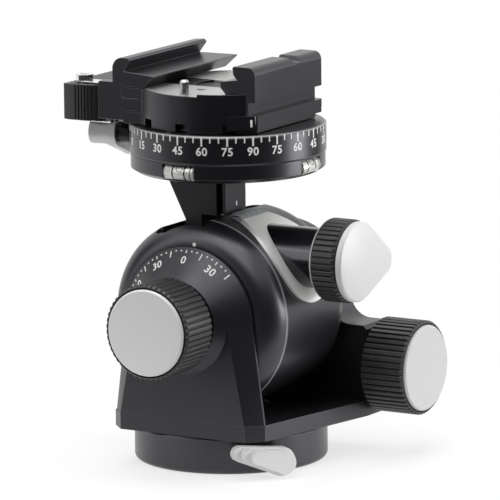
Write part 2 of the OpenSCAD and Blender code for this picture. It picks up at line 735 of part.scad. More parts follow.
module clamp_body() {
    color("#232327") difference() {
        union() {
            intersection() {
                translate([0, 0, clamp_z]) linear_extrude(floor_h) {
                    circle(clamp_r);
                    translate([body_left, -jaw_len / 2]) square([-body_left - 15, jaw_len]);
                }
                // floor with a groove for the moving jaw's finger, a ledge for the fixed jaw
                jaw_extrude(60) polygon([[body_left, 0], [grip_fix + 6.8, 0],
                    [grip_fix + 6.8, 2.9], [grip_fix - 3.1, 2.9], [grip_fix - 3.1, floor_h],
                    [body_left, floor_h], [body_left, 8.2], [finger_x + seam, 8.2],
                    [finger_x + seam, 3.7], [body_left, 3.7]]);
            }
            // round front under the end of the fixed jaw, with a low rim
            intersection() {
                translate([0, 0, clamp_z]) cylinder(r = clamp_r, h = floor_h + 0.8);
                translate([5.3, -clamp_r, clamp_z + 1])
                    cube([clamp_r, clamp_r - jaw_len / 2, floor_h]);
            }
        }
        translate([0, 0, clamp_z - e]) cylinder(d = spindle_d + 2 * run, h = 30);
        translate([0, 0, clamp_z + 5.3]) cylinder(d = spindle_d + 5.4, h = 30);
        translate([0, 0, clamp_z + floor_h - sheet_t]) {
            linear_extrude(2) sheet_outline();
            translate([0, 0, sheet_t]) linear_extrude(2) intersection() {
                circle(clamp_r - 0.8);
                translate([0, -clamp_r]) square([30, clamp_r]);
            }
        }
        // notches round the lower edge
        for (a = [-32 : 32 : 64]) rotate([0, 0, a])
            translate([-2.2, -ring_d / 2, clamp_z - e]) cube([4.4, 5.6, 2.6]);
        // bore of the draw bar, hole of the safety pin and its spring
        translate([-40, bar_y, clamp_z + 6]) along_x() cylinder(d = bar_d, h = 34);
        translate([stop_x, stop_y, clamp_z + 3.2]) cylinder(d = stop_d + 2 * run, h = 20);
        translate([stop_x, stop_y, clamp_z + 3.2]) cylinder(d = 4.2, h = 4.6);
    }
}

// Outline of the two floor plates, in front of the pan axis and behind it
module sheet_outline() {
    intersection() {
        circle(clamp_r - 0.8);
        for (y = [-40, 5.5]) translate([-18.5, y])
            square([grip_fix - 3.1 + 18.5, y < 0 ? 33 : 30]);
    }
}

// Quarter disc that rounds a corner
module quarter(x, y, r) {
    translate([x, y]) intersection() {
        circle(r);
        square(r);
    }
}

module fixed_jaw() {
    x = grip_fix;
    t = 20.3;                                 // height of the jaw's top
    color("#1f1f22") difference() {
        union() {
            jaw_extrude() {
                polygon([[x - 3.1, 2.9], [x - 3.1, 11.8], [x - 4.7, 13.5], [x - 4.7, 15.3],
                    [x + 1.2, 16.2], [x - 0.1, 17.7], [x - 0.4, t - 0.4], [x, t],
                    [x + 5, t], [x + 7.5, t - 2.5], [x + 7.5, 9.6], [x + 5.1, 9.6],
                    [x + 5.1, 5.5], [x + 7.5, 5.5], [x + 7.5, 2.9]]);
                quarter(x + 5, t - 2.5, 2.5);
            }
            // flange along the foot of the jaw, bent round the clamp's front
            intersection() {
                translate([0, 0, clamp_z + 1.4]) cylinder(r = clamp_r + 2, h = 4.1);
                translate([15, -40, clamp_z]) cube([x + 7.9 - 15, 40 + jaw_len / 2, 10]);
            }
        }
        // seat on the clamp body
        intersection() {
            translate([0, 0, clamp_z - 1]) cylinder(r = clamp_r, h = 30);
            union() {
                translate([0, -40, clamp_z - 1]) cube([40, 40 - jaw_len / 2, 30]);
                translate([0, -40, clamp_z - 1]) cube([x + 6.8, 80, 3.9]);
            }
        }
        // half-round notch across the top
        translate([x - 4, 5.4, clamp_z + t + 0.4]) along_x() cylinder(d = 5, h = 16);
    }
}

module moving_jaw() {
    x = grip_in;
    b = body_left - seam;
    t = 20.3;                                 // height of the jaw's top
    lip = 10.6;                               // reach of the lips behind the clamp body
    color("#232327") difference() {
        translate([0, lip / 2, 0]) jaw_extrude(jaw_len + lip) {
            polygon([[jaw_out, 0.8], [jaw_out, ledge_h - 0.6], [jaw_out + 0.6, ledge_h],
                [x - 3.9, ledge_h], [x - 3.9, t], [x + 1.7, t],
                [x + 2.3, t - 0.6], [x + 2.2, t - 1.2], [x + 0.4, 16.1], [x + 10.8, 15.3],
                [x + 10.8, 14.9], [x + 7.5, floor_h + seam], [b, floor_h + seam],
                [b, 8.2 - seam], [finger_x, 8.2 - seam], [finger_x, 3.7 + seam],
                [b, 3.7 + seam], [b, 0.8]]);
        }
        // rounding of the top outer corner
        translate([0, lip / 2 + 1, 0]) jaw_extrude(jaw_len + lip + 2) difference() {
            translate([x - 5, t - 3.6]) square([4.7, 4.6]);
            translate([x - 0.3, t - 3.6]) circle(3.6);
        }
        // end behind the clamp body, cut off at a slant
        translate([0, 0, clamp_z - 1]) linear_extrude(40) polygon([[jaw_out - 1, jaw_len / 2],
            [jaw_out, jaw_len / 2], [x + 11.4, jaw_len / 2 + lip],
            [x + 11.4, jaw_len / 2 + lip + 1], [jaw_out - 1, jaw_len / 2 + lip + 1]]);
        translate([jaw_out - 1, bar_y, clamp_z + 6]) along_x()
            cylinder(d = bar_d + 2 * run, h = 34);
        // gap in the finger where the bar passes
        translate([b - 0.6, bar_y - 2.6, clamp_z + 3.4]) cube([finger_x - b + 1.6, 5.2, 5.1]);
        // recess that lets the jaw slide past the yoke
        translate([jaw_out - 1, bar_y - 2.7, clamp_z - 1])
            cube([1 + 0.2 + yoke_t + jaw_travel + 0.2, 5.4, ledge_h + 3]);
    }
}

module floor_plates() {
    color("#c9c9c7") difference() {
        translate([0, 0, clamp_z + floor_h - sheet_t]) linear_extrude(sheet_t) sheet_outline();
        translate([stop_x, stop_y, clamp_z + floor_h - 1]) cylinder(d = stop_d + 2 * run, h = 3);
        translate([-1.5, -12.7, clamp_z + floor_h - 1]) cylinder(d = 3, h = 3);
    }
}

// Disc that closes the floor over the spindle's head
module spindle_cap() {
    color("#1b1b1e") translate([0, 0, clamp_z + floor_h - sheet_t - 1.6])
        cylinder(d = spindle_d + 5.4, h = 1.6);
}

// Bar that ties the lever's yoke to the clamp body and guides the moving jaw
module draw_bar() {
    color("silver") translate([jaw_out + 0.2, bar_y, clamp_z + 6]) along_x()
        cylinder(d = bar_d, h = -6.2 - jaw_out - 0.2);
}

// Yoke with a strip above and one below the lever, which hold its pivot screw
module flip_yoke() {
    x = jaw_out + 0.2;
    low = lever_low - pass - strap_t;
    color("silver") difference() {
        translate([0, 0, clamp_z]) {
            translate([x, bar_y - 2.1, low])
                cube([yoke_t, 4.2, lever_top + pass + strap_t - low]);
            for (z = [low, lever_top + pass]) translate([0, bar_y, z]) {
                translate([flip_x, 0, 0]) cylinder(d = 5, h = strap_t);
                translate([flip_x, -2.5, 0]) cube([x + yoke_t - flip_x, 5, strap_t]);
            }
        }
        translate([flip_x, bar_y, clamp_z - 2]) cylinder(d = 3, h = 20);
        translate([x - 1, bar_y, clamp_z + 6]) along_x() cylinder(d = bar_d, h = 6);
    }
}

// Outline of the flip lever: a cam round ahead of the pivot and an arm along the jaw
module flip_outline() {
    translate([jaw_travel, 0]) circle(cam_r);
    polygon([[-4.5, -cam_r + 0.7], [-2, -cam_r], [jaw_travel, -cam_r], [6.8, 3], [5.8, 27],
        [3.4, 29.5], [-1.8, 29.5], [-4.5, 27]]);
}

module flip_lever() {
    color("#1c1c1e") translate([flip_x, bar_y, clamp_z]) difference() {
        translate([0, 0, lever_low]) linear_extrude(lever_top - lever_low) difference() {
            flip_outline();
            for (y = [-2.4 : 2 : 25.6]) translate([-4.9, y]) square([0.8, 0.9]);
            // grooves round the nose
            translate([jaw_travel, 0]) for (a = [225 : 11 : 302]) rotate([0, 0, a])
                translate([cam_r - 0.45, -0.25]) square([1, 0.5]);
        }
        translate([0, 0, -1]) cylinder(d = 3 + 2 * run, h = 20);
    }
}

module flip_screw() {
    h = lever_top + pass + strap_t;
    low = lever_low - pass - strap_t;
    color("silver") translate([flip_x, bar_y, clamp_z]) difference() {
        union() {
            translate([0, 0, low]) cylinder(d = 3, h = h - low + e);
            translate([0, 0, h]) cylinder(d = 5.7, h = 1.9);
        }
        translate([0, 0, h + 0.9]) cylinder(d = 3, h = 2, $fn = 6);
    }
}

module safety_pin() {
    color("silver") translate([stop_x, stop_y, clamp_z + 7.8]) {
        cylinder(d = stop_d, h = 7.4);
        translate([0, 0, 7.4 - e]) cylinder(d1 = stop_d, d2 = stop_d - 0.8, h = 0.5);
    }
}

module pin_spring() {
    color("#888888") translate([stop_x, stop_y, clamp_z + 3.2]) difference() {
        cylinder(d = 3.8, h = 4.6);
        translate([0, 0, -e]) cylinder(d = 2.4, h = 5);
    }
}

foot();
pan_post();
base_lever();
base_lever_screw();
base_plate();
front_upright();
gear_housing();
housing_cover();
cover_screws();
frame_screws();
roll_bush();
drum();
tilt_collar();
tilt_tube();
tilt_bush();
roll_wheel();
roll_worm();
roll_shaft();
roll_knob();
roll_cap();
tilt_worm();
tilt_shaft();
tilt_knob();
tilt_cap();
lock_knob();
lock_ring();
lock_lever();
neck();
tilt_sector();
tilt_pin();
level_ring();
vial_front();
vial_side();
scale_ring();
spindle();
ring_screws();
pan_lever();
pan_lever_screw();
clamp_body();
fixed_jaw();
moving_jaw();
floor_plates();
draw_bar();
flip_lever();
flip_screw();
flip_yoke();
safety_pin();
pin_spring();
spindle_cap();
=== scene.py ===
import bpy
import math
from mathutils import Matrix, Vector


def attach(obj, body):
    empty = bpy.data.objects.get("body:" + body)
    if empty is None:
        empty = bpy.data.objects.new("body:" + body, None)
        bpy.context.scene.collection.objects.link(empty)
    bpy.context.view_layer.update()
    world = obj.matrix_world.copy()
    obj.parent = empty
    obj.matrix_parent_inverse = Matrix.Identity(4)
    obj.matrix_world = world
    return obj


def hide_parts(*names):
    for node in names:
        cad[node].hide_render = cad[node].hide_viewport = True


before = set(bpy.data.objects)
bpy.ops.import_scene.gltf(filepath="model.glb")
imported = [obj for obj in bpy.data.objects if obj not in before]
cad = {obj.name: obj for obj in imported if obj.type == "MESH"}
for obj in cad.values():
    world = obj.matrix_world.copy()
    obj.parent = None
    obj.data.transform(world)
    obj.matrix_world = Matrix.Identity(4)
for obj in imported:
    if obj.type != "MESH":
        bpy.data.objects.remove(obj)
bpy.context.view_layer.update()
mm = 0.001

# centre lines that several pieces share, in millimetres
lines = {"rollZ": 47.1, "tiltZ": 65.0, "ringZ": 90.5, "clampZ": 105.6, "wormY": 29.6, "wormZ": 27.3}


# ---- camera ----
view = {"eye": (1048.93, -1726.54, 435.58), "aim": (7.52, 0, 65.42), "lens": 477.8, "lean": 0.61}


def addCamera():
    eye, aim = Vector(view["eye"]) * mm, Vector(view["aim"]) * mm
    ahead = (aim - eye).normalized()
    right = ahead.cross(Vector((0, 0, 1))).normalized()
    up = right.cross(ahead)
    lean = math.radians(view["lean"])
    right, up = (right * math.cos(lean) - up * math.sin(lean),
                 right * math.sin(lean) + up * math.cos(lean))
    data = bpy.data.cameras.new("viewCamera")
    data.lens, data.sensor_width = view["lens"], 36
    data.clip_start, data.clip_end = 0.05, 50
    camera = bpy.data.objects.new("viewCamera", data)
    bpy.context.scene.collection.objects.link(camera)
    camera.matrix_world = Matrix.Translation(eye) @ Matrix((right, up, -ahead)).transposed().to_4x4()
    bpy.context.scene.camera = camera


addCamera()
print("camera set")


# ---- shader maths ----
class Signal:
    # wraps a socket so that masks can be written as plain expressions
    def __init__(self, finish, socket):
        self.finish, self.socket = finish, socket

    def maths(self, operation, *values):
        return self.finish.maths(operation, *values)

    def __add__(self, other): return self.maths("ADD", self, other)
    def __radd__(self, other): return self.maths("ADD", other, self)
    def __sub__(self, other): return self.maths("SUBTRACT", self, other)
    def __rsub__(self, other): return self.maths("SUBTRACT", other, self)
    def __mul__(self, other): return self.maths("MULTIPLY", self, other)
    def __rmul__(self, other): return self.maths("MULTIPLY", other, self)
    def __truediv__(self, other): return self.maths("DIVIDE", self, other)
    def __rtruediv__(self, other): return self.maths("DIVIDE", other, self)
    def __pow__(self, other): return self.maths("POWER", self, other)
    def __lt__(self, other): return self.maths("LESS_THAN", self, other)
    def __gt__(self, other): return self.maths("GREATER_THAN", self, other)
    def __abs__(self): return self.maths("ABSOLUTE", self)

    def clipped(self):
        return self.finish.add("ShaderNodeMath", {"operation": "ADD", "use_clamp": True}, (self, 0.0))


class Finish:
    def __init__(self, name, **constants):
        self.material = bpy.data.materials.new(name)
        self.material.use_nodes = True
        self.tree = self.material.node_tree
        self.tree.nodes.clear()
        self.shader = self.tree.nodes.new("ShaderNodeBsdfPrincipled")
        self.out = self.tree.nodes.new("ShaderNodeOutputMaterial")
        self.tree.links.new(self.shader.outputs[0], self.out.inputs[0])
        for socket, value in constants.items():
            self.set(socket.replace("_", " "), value)

    def add(self, kind, settings=None, inputs=(), output=0):
        node = self.tree.nodes.new(kind)
        for key, value in (settings or {}).items():
            setattr(node, key, value)
        for key, value in (inputs.items() if isinstance(inputs, dict) else enumerate(inputs)):
            if isinstance(value, Signal):
                self.tree.links.new(value.socket, node.inputs[key])
            else:
                node.inputs[key].default_value = value
        return Signal(self, node.outputs[output])

    def maths(self, operation, *values):
        return self.add("ShaderNodeMath", {"operation": operation}, values)

    def set(self, socket, value):
        if isinstance(value, Signal):
            self.tree.links.new(value.socket, self.shader.inputs[socket])
        else:
            self.shader.inputs[socket].default_value = value
        return self

    def place(self, centre=(0, 0, 0), scale=(1, 1, 1)):
        where = self.add("ShaderNodeTexCoord", output="Object")
        return self.add("ShaderNodeMapping", {"vector_type": "TEXTURE"},
                        {"Vector": where, "Location": [c * mm for c in centre], "Scale": scale})

    def split(self, where):
        return [self.add("ShaderNodeSeparateXYZ", None, (where,), output=i) for i in range(3)]

    def noise(self, where, scale, detail=3.0, rough=0.5):
        return self.add("ShaderNodeTexNoise", None, {"Vector": where, "Scale": scale, "Detail": detail,
                                                      "Roughness": rough})

    def mix(self, factor, a, b):
        return self.add("ShaderNodeMix", {"data_type": "RGBA"}, {0: factor, 6: a, 7: b}, output=2)

    def bump(self, height, strength, distance):
        self.set("Normal", self.add("ShaderNodeBump", None,
                                    {"Height": height, "Strength": strength, "Distance": distance}))
        return self


def shade(r, g, b):
    return (r, g, b, 1.0)


# black anodised alloy: a blasted grain, faint cloudiness and a cool violet cast
anodised = {"dark": (0.0046, 0.0045, 0.0056), "pale": (0.0088, 0.0085, 0.0106), "grain": 2600, "cloud": 60,
            "specular": 0.62, "sheen": 0.8, "tint": (0.93, 0.93, 1.0)}


def blackFinish(name, rough, dark=None, pale=None):
    k = anodised
    f = Finish(name, Metallic=0.0, Specular_IOR_Level=k["specular"], Specular_Tint=shade(*k["tint"]))
    where = f.place()
    cloud = f.noise(where, k["cloud"], 4.0, 0.6)
    fine = f.noise(where, k["grain"], 2.0, 0.7)
    tone = (cloud * 0.6 + fine * 0.4).clipped()
    f.set("Base Color", f.mix(tone, shade(*(dark or k["dark"])), shade(*(pale or k["pale"]))))
    f.set("Roughness", rough - 0.05 + cloud * 0.06 + fine * 0.05)
    f.bump(fine, 0.10, 0.00004)
    return f.material


def turnedBlack(name, centre, along, rough, rim=None):
    # the same black with the faint rings that a lathe leaves about one axis, and, if there is one, a painted
    # highlight: a light line along a rim
    k = anodised
    f = Finish(name, Metallic=0.0, Specular_IOR_Level=k["sheen"], Specular_Tint=shade(*k["tint"]))
    where = f.place(centre)
    x, y, z = f.split(where)
    a, b, c = {"x": (y, z, x), "y": (x, z, y), "z": (x, y, z)}[along]
    radius = f.maths("SQRT", a * a + b * b)
    track = f.add("ShaderNodeCombineXYZ", None, (radius * 9.0, c * 9.0, 0.0))
    rings = f.noise(track, 420, 2.0, 0.6)
    cloud = f.noise(where, k["cloud"], 4.0, 0.6)
    fine = f.noise(where, k["grain"], 2.0, 0.7)
    colour = f.mix((rings * 0.4 + cloud * 0.6).clipped(), shade(*k["dark"]), shade(*k["pale"]))
    if rim:
        # the rim line is a painted highlight, lightened into the base colour
        off = abs(c / mm - rim["at"]) / rim["wide"]
        line = (1.0 - off).clipped() * (radius > rim["from"] * mm)
        colour = f.mix(line * rim["strength"], colour, shade(*rim["tone"]))
    f.set("Base Color", colour)
    f.set("Roughness", rough - 0.04 + rings * 0.06 + fine * 0.04)
    f.bump(rings * 0.6 + fine * 0.4, 0.08, 0.00004)
    return f.material


# painted highlight: a light line where the drum's front shoulder meets its barrel
drumRimHighlight = {"at": -15.6, "wide": 0.75, "from": 29.0, "strength": 0.95, "tone": (0.29, 0.27, 0.30)}


# satin alloy: pale, blasted, with very faint turning rings
def satinAlloy(name, centre, along, tone, rough, metal):
    f = Finish(name, Metallic=metal)
    where = f.place(centre)
    x, y, z = f.split(where)
    a, b = {"x": (y, z), "y": (x, z), "z": (x, y)}[along]
    radius = f.maths("SQRT", a * a + b * b)
    track = f.add("ShaderNodeCombineXYZ", None, (radius * 6.0, 0.0, 0.0))
    rings = f.noise(track, 500, 2.0, 0.6)
    fine = f.noise(where, 3000, 2.0, 0.7)
    cloud = f.noise(where, 45, 3.0, 0.5)
    dim, bright = shade(tone * 0.94, tone * 0.95, tone * 0.95), shade(tone * 1.06, tone * 1.06, tone * 1.05)
    f.set("Base Color", f.mix((cloud * 0.5 + fine * 0.3 + rings * 0.2).clipped(), dim, bright))
    f.set("Roughness", rough - 0.05 + rings * 0.05 + fine * 0.06)
    f.bump(fine * 0.7 + rings * 0.3, 0.06, 0.00003)
    return f.material


# bare collar: satin metal, blasted where the tilt scale is engraved beside the neck
collarScale = {"from": 4.6, "short": 7.0, "long": 8.4, "step": 5.0, "every": 15.0, "wide": 0.42,
               "reach": 38, "patch": 10.0}


def collarFinish():
    f = Finish("collarFinish")
    where = f.place((0, 0, lines["tiltZ"]))
    x, y, z = f.split(where)
    radius = f.maths("SQRT", y * y + z * z) / mm
    angle = f.maths("ARCTAN2", y, z) * math.degrees(1)
    out = x / mm
    k = collarScale

    def mark(step, end):
        off = abs(f.maths("WRAP", angle + step / 2, step, 0.0) - step / 2)
        near = (off * radius * math.radians(1)) < k["wide"] / 2
        return near * (out > k["from"]) * (out < end)

    marks = (mark(k["step"], k["short"]) + mark(k["every"], k["long"])).clipped()
    marks = marks * (abs(angle) < k["reach"])
    patch = ((k["patch"] - out) * 1.5).clipped() * ((k["reach"] + 8 - abs(angle)) * 0.3).clipped()
    fine = f.noise(where, 2500, 2.0, 0.7)
    strokes = f.add("ShaderNodeCombineXYZ", None, (radius * 0.02, angle * 0.002, 0.0))
    brushed = f.noise(strokes, 300, 3.0, 0.6)
    metal = f.mix((fine * 0.5 + brushed * 0.5).clipped(), shade(0.80, 0.80, 0.78), shade(0.93, 0.93, 0.91))
    blasted = f.mix(fine, shade(0.30, 0.33, 0.35), shade(0.38, 0.41, 0.43))
    metal = f.mix(patch * 0.85, metal, blasted)
    f.set("Base Color", f.mix(marks, metal, shade(0.015, 0.015, 0.015)))
    f.set("Metallic", 0.3 - marks * 0.3)
    f.set("Roughness", 0.36 + fine * 0.08 + patch * 0.1)
    f.bump(fine * 0.5 + brushed * 0.5 - marks * 2.0, 0.08, 0.00004)
    return f.material


def plainMetal(name, tone, rough, metal=1.0, grain=900):
    f = Finish(name, Metallic=metal)
    where = f.place()
    fine = f.noise(where, grain, 3.0, 0.6)
    lift = [min(1.0, c * 1.15) for c in tone]
    f.set("Base Color", f.mix(fine, shade(*tone), shade(*lift)))
    f.set("Roughness", rough - 0.04 + fine * 0.08)
    f.bump(fine, 0.05, 0.00003)
    return f.material


def paintFinish():
    f = Finish("markPaint", Metallic=0.0)
    where = f.place()
    fine = f.noise(where, 1800, 2.0, 0.6)
    f.set("Base Color", f.mix(fine, shade(0.72, 0.72, 0.72), shade(0.86, 0.86, 0.85)))
    f.set("Roughness", 0.45 + fine * 0.1)
    f.bump(fine, 0.05, 0.00002)
    return f.material


def glassFinish():
    tint = (0.97, 0.98, 0.96)
    f = Finish("vialGlass", Metallic=0.0, Transmission_Weight=1.0, IOR=1.47)
    where = f.place()
    fine = f.noise(where, 300, 2.0, 0.5)
    f.set("Base Color", f.mix(fine, shade(*tint), shade(*[min(1, c * 1.03) for c in tint])))
    f.set("Roughness", 0.02 + fine * 0.01)
    return f.material


finishes = {
    "black": blackFinish("blackAnodised", rough=0.36),
    "blackSatin": blackFinish("blackSatin", rough=0.30),
    "drum": turnedBlack("drumBlack", (0, 0, lines["rollZ"]), "y", 0.34, drumRimHighlight),
    "ring": turnedBlack("ringBlack", (0, 0, 0), "z", 0.28),
    "foot": turnedBlack("footBlack", (0, 0, 0), "z", 0.32),
    "tube": turnedBlack("tubeBlack", (0, 0, lines["tiltZ"]), "x", 0.16),
    "grip": blackFinish("gripBlack", rough=0.46, dark=(0.012, 0.012, 0.012), pale=(0.021, 0.021, 0.021)),
    "frontCap": satinAlloy("frontCapAlloy", (0, 0, lines["rollZ"]), "y", 0.70, 0.50, 0.15),
    # the side caps and the lock take darker copies of the front cap's alloy: painted shade against the
    # stronger light on their right-facing sides
    "shadedSideCap": satinAlloy("shadedSideCapAlloy", (0, lines["wormY"], lines["wormZ"]), "x", 0.48, 0.50, 0.12),
    "shadedLockCap": satinAlloy("shadedLockCapAlloy", (0, 0, lines["tiltZ"]), "x", 0.60, 0.50, 0.12),
    "lever": satinAlloy("leverAlloy", (0, 0, 0), "z", 0.64, 0.42, 0.3),
    "collar": collarFinish(),
    "steel": plainMetal("groundSteel", (0.50, 0.50, 0.51), 0.28),
    "darkSteel": plainMetal("blackenedSteel", (0.035, 0.035, 0.038), 0.40, 0.9),
    "chrome": plainMetal("chromePlate", (0.74, 0.75, 0.76), 0.10),
    "backing": plainMetal("vialBacking", (0.86, 0.87, 0.84), 0.30, 0.2, 1400),
    "bronze": plainMetal("gearBronze", (0.43, 0.26, 0.11), 0.34),
    "plate": plainMetal("floorPlate", (0.44, 0.44, 0.43), 0.36, 0.6),
    # a lighter black for the bevel faces of the black pieces: a painted highlight along their edges
    "darkEdgeHighlight": blackFinish("paintedHighlightBlackEdge", rough=0.34, dark=(0.055, 0.053, 0.058),
                            pale=(0.085, 0.082, 0.088)),
    # a light metal band for the scale ring's top chamfer: a painted highlight
    "edge": plainMetal("paintedHighlightEdge", (0.27, 0.26, 0.265), 0.42, 0.3, 1600),
    "paint": paintFinish(),
    "glass": glassFinish(),
}
print("finishes made")


# ---- ways of working ----
# how sharp edges are broken, and how a copied solid is cleaned first (angles in degrees, merge in metres)
worn = {"segments": 2, "angle": 30, "merge": 2e-6, "flat": 0.4, "smooth": 32}


def clearSelection():
    if bpy.context.view_layer.objects.active and bpy.context.object and bpy.context.object.mode != "OBJECT":
        bpy.ops.object.mode_set(mode="OBJECT")
    bpy.ops.object.select_all(action="DESELECT")


def makeActive(piece):
    clearSelection()
    piece.select_set(True)
    bpy.context.view_layer.objects.active = piece


def wear(piece, finish):
    piece.data.materials.clear()
    piece.data.materials.append(finishes[finish])


def smoothed(piece, angle=worn["smooth"]):
    makeActive(piece)
    bpy.ops.object.shade_smooth_by_angle(angle=math.radians(angle))


def bevelled(piece, width, band=-1):
    # band is the number of the material that the broken edges get, -1 for that of their neighbours
    makeActive(piece)
    tool = piece.modifiers.new("edges", "BEVEL")
    tool.width, tool.segments = width * mm, worn["segments"]
    tool.limit_method, tool.angle_limit = "ANGLE", math.radians(worn["angle"])
    tool.use_clamp_overlap = True
    tool.harden_normals, tool.material = False, band
    bpy.ops.object.modifier_apply(modifier=tool.name)
    smoothed(piece)
    level = piece.modifiers.new("flats", "WEIGHTED_NORMAL")    # keeps flat faces flat up to their edges
    level.weight, level.keep_sharp = 100, True
    bpy.ops.object.modifier_apply(modifier=level.name)


def broken(node, width, finish, slot, body):
    # a copy of a solid whose sharp edges are broken as a machinist breaks them
    makeActive(cad[node])
    bpy.ops.object.duplicate(linked=False)
    piece = bpy.context.object
    for key in [k for k in piece.keys() if k.startswith("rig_")]:
        del piece[key]
    piece.parent = None
    piece.matrix_world = Matrix.Identity(4)
    piece.name = node + ".edged"
    bpy.ops.object.mode_set(mode="EDIT")
    bpy.ops.mesh.select_all(action="SELECT")
    bpy.ops.mesh.remove_doubles(threshold=worn["merge"])
    bpy.ops.mesh.dissolve_limited(angle_limit=math.radians(worn["flat"]), delimit={"SHARP"})
    bpy.ops.object.mode_set(mode="OBJECT")
    wear(piece, finish)
    # the bevel faces of black pieces get the lighter black, a painted highlight along the edges
    dark = slot == "black_anodised"
    if dark:
        piece.data.materials.append(finishes["darkEdgeHighlight"])
    bevelled(piece, width, 1 if dark else -1)
    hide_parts(node)
    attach(piece, body)


def turned(name, outline, sides=160):
    # turned about Z from the first (radius, height) to the last, both ends closed
    clearSelection()
    bpy.ops.mesh.primitive_circle_add(vertices=sides, radius=outline[0][0] * mm, fill_type="NGON",
                                      location=(0, 0, 0))
    piece = bpy.context.object
    piece.name = name
    bpy.ops.object.mode_set(mode="EDIT")
    bpy.ops.mesh.select_all(action="SELECT")
    bpy.ops.transform.translate(value=(0, 0, outline[0][1] * mm))
    for (r0, h0), (r1, h1) in zip(outline, outline[1:]):
        bpy.ops.mesh.extrude_region_move(TRANSFORM_OT_translate={"value": (0, 0, (h1 - h0) * mm)})
        bpy.ops.transform.resize(value=(r1 / r0, r1 / r0, 1), center_override=(0, 0, h1 * mm))
    bpy.ops.mesh.select_all(action="SELECT")
    bpy.ops.mesh.normals_make_consistent(inside=False)
    bpy.ops.object.mode_set(mode="OBJECT")
    return piece


turns = {"right": Matrix.Rotation(math.pi / 2, 4, "Y"), "front": Matrix.Rotation(math.pi / 2, 4, "X")}


def settle(piece, facing, place):
    # turns a piece made about Z and puts it in its place, both in its mesh; facing is a name or a matrix
    turn = turns[facing] if isinstance(facing, str) else facing
    piece.data.transform(Matrix.Translation(Vector(place) * mm) @ turn)
    piece.matrix_world = Matrix.Identity(4)


def fit(piece, finish, slot, body, *nodes):
    # finish, slot and body of a new piece, and the solids that it stands in for; slot is not used
    wear(piece, finish)
    if nodes:
        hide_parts(*nodes)
    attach(piece, body)


def together(name, pieces):
    clearSelection()
    for piece in pieces:
        piece.select_set(True)
    bpy.context.view_layer.objects.active = pieces[0]
    if len(pieces) > 1:
        bpy.ops.object.join()
    pieces[0].name = name
    return pieces[0]


# ---- finishes of the solids that stay as they are ----
keep = {
    "steel": ["pan_post", "roll_worm", "roll_shaft", "tilt_worm", "tilt_shaft", "tilt_pin", "spindle",
              "ring_screws", "draw_bar", "pin_spring"],
    "darkSteel": ["base_lever_screw", "cover_screws", "frame_screws", "roll_bush", "tilt_bush",
                  "pan_lever_screw"],
    "bronze": ["roll_wheel", "tilt_sector"],
    "black": ["spindle_cap"],
}
for finish, names in keep.items():
    for name in names:
        wear(cad[name], finish)

# ---- machined pieces with broken edges ----
machined = {
    "foot": (0.25, "foot", "black_anodised", "foot"),
    "base_plate": (0.35, "black", "black_anodised", "frame"),
    "front_upright": (0.35, "black", "black_anodised", "frame"),
    "gear_housing": (0.35, "black", "black_anodised", "frame"),
    "housing_cover": (0.1, "black", "black_anodised", "frame"),
    "drum": (0.3, "drum", "black_anodised", "drum"),
    "tilt_collar": (0.12, "collar", "bare_alloy", "drum"),
    "tilt_tube": (0.2, "tube", "black_anodised", "drum"),
    "neck": (0.3, "blackSatin", "black_anodised", "neck"),
    "level_ring": (0.15, "ring", "black_anodised", "neck"),
    "scale_ring": (0.15, "ring", "black_anodised", "neck"),
    "clamp_body": (0.2, "blackSatin", "black_anodised", "clamp"),
    "fixed_jaw": (0.3, "blackSatin", "black_anodised", "clamp"),
    "moving_jaw": (0.3, "blackSatin", "black_anodised", "moving_jaw"),
    "floor_plates": (0.1, "plate", "bare_alloy", "clamp"),
    "flip_lever": (0.2, "grip", "knob_black", "flip_lever"),
    "flip_screw": (0.12, "chrome", "chromed_steel", "clamp"),
    "flip_yoke": (0.12, "chrome", "chromed_steel", "clamp"),
    "safety_pin": (0.1, "steel", "steel", "safety_pin"),
    "lock_ring": (0.1, "shadedLockCap", "bright_alloy", "lock_knob"),
    "base_lever": (0.3, "lever", "bright_alloy", "base_lever"),
    "pan_lever": (0.3, "lever", "bright_alloy", "pan_lever"),
}
for node, (width, finish, slot, body) in machined.items():
    broken(node, width, finish, slot, body)
print("machined pieces edged")

# ---- ribbed knobs ----
gearKnob = {"r": 14.75, "length": 15.4, "capR": 13.5, "teeth": 48, "nose": 1.2}
knobs = {
    "tiltKnob": {"node": "tilt_knob", "body": "tilt_drive", "facing": "front",
                 "place": (0, -34.5, lines["rollZ"]), **gearKnob},
    "rollKnob": {"node": "roll_knob", "body": "roll_drive", "facing": "right",
                 "place": (37.9, lines["wormY"], lines["wormZ"]), **gearKnob},
    "lockKnob": {"node": "lock_knob", "body": "lock_knob", "facing": "right",
                 "place": (36.6, 0, lines["tiltZ"]), "r": 12.9, "length": 8.4, "capR": 0, "teeth": 42,
                 "nose": 0.9},
}
# one tooth is perTooth corners: groove is its root, lip the corners beside it, which are drawn in a little
rib = {"depth": 0.62, "perTooth": 10, "groove": (0, 1), "lip": (2, 9), "lipDepth": 0.14, "startRise": 0.35,
       "startDepth": 0.35, "end": (-0.3, 0.35)}
# the knob's nose from the ribs' end to the seat of its cap, or to a plain rim where it has none
capEdge = {"start": (0.3, 0.36), "gap": 0.35, "lip": 0.02, "sunk": 0.85, "deep": 1.2, "broken": 0.1,
           "rimIn": 0.25, "rimRise": 0.6}


def ringSelect(piece, count, height, which):
    # selects the corners of one ring whose number within its tooth is in which
    bpy.ops.object.mode_set(mode="OBJECT")
    for v in piece.data.vertices:
        turn = (math.atan2(v.co.y, v.co.x) / (2 * math.pi)) % 1.0
        number = round(turn * count) % rib["perTooth"]
        v.select = abs(v.co.z - height) < 1e-6 and number in which and v.co.xy.length > 1e-4
    for e in piece.data.edges:
        e.select = False
    for f in piece.data.polygons:
        f.select = False
    bpy.ops.object.mode_set(mode="EDIT")
    bpy.ops.mesh.select_mode(type="VERT")


